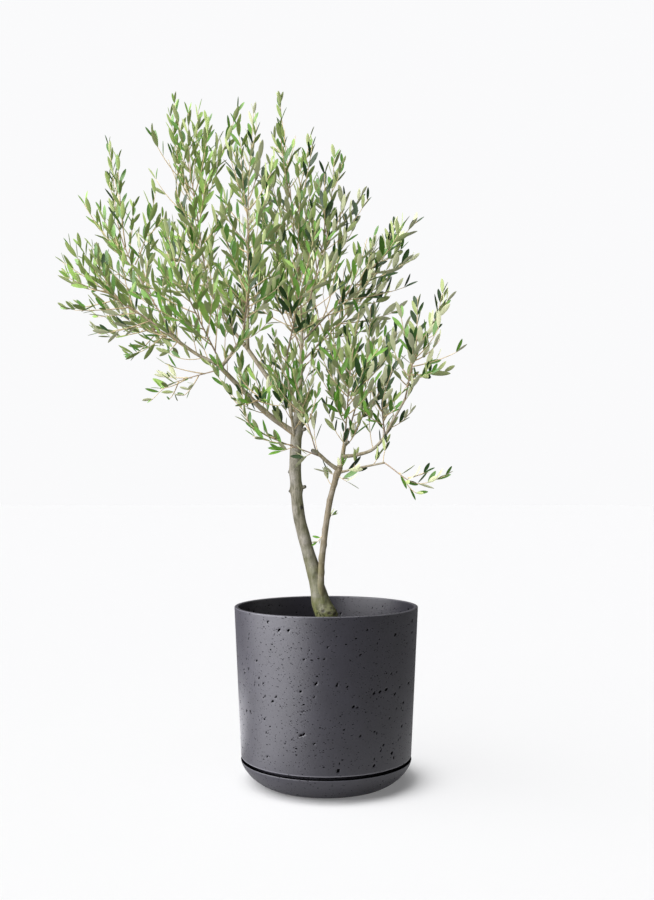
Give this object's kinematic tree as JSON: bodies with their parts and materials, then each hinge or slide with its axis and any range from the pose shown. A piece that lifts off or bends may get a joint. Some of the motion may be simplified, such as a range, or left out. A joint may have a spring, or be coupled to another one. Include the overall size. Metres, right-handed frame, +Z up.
{
  "type": "potted olive tree",
  "caption": "Young two-stemmed olive tree with an open leafy crown, in a round dark cement planter on its matching saucer.",
  "frame": {"origin": "centre of the saucer's flat underside, on the floor", "axes": "+Z up along the planter's axis, +X to the viewer's right, +Y away from the viewer"},
  "size_m": [0.853, 0.5089, 1.4455],
  "materials": {
    "cement": "matt charcoal cement with small open pores",
    "soil": "dark crumbly potting soil",
    "bark": "smooth young grey-green olive bark",
    "foliage": "leathery olive leaves, green above and silvery below"
  },
  "bodies": {
    "root": {"saucer": "cement", "planter": "cement", "soil": "soil", "trunk": "bark", "second_stem": "bark", "left_bough": "bark", "left_outer_bough": "bark", "left_high_bough": "bark", "rear_bough": "bark", "rear_high_bough": "bark", "crown_bough": "bark", "front_shoot": "bark", "top_bough": "bark", "left_spur": "bark", "centre_spur": "bark", "right_bough": "bark", "low_twig": "bark", "leaves_left_tip": "foliage", "leaves_left_crest": "foliage", "leaves_left_under": "foliage", "leaves_left_front": "foliage", "leaves_low_left": "foliage", "leaves_top_left": "foliage", "leaves_rear_left": "foliage", "leaves_top_middle": "foliage", "leaves_heart_front": "foliage", "leaves_heart_right": "foliage", "leaves_top_right": "foliage", "leaves_upper_right": "foliage", "leaves_right_crest": "foliage", "leaves_rear_middle": "foliage", "leaves_rear_right": "foliage", "leaves_right_outer": "foliage", "leaves_right_front": "foliage", "leaves_right_inner": "foliage", "leaves_low_middle": "foliage", "leaves_low_right": "foliage", "leaves_low_front": "foliage", "leaves_bough_front": "foliage", "leaves_right_low": "foliage"}
  },
  "joints": []
}
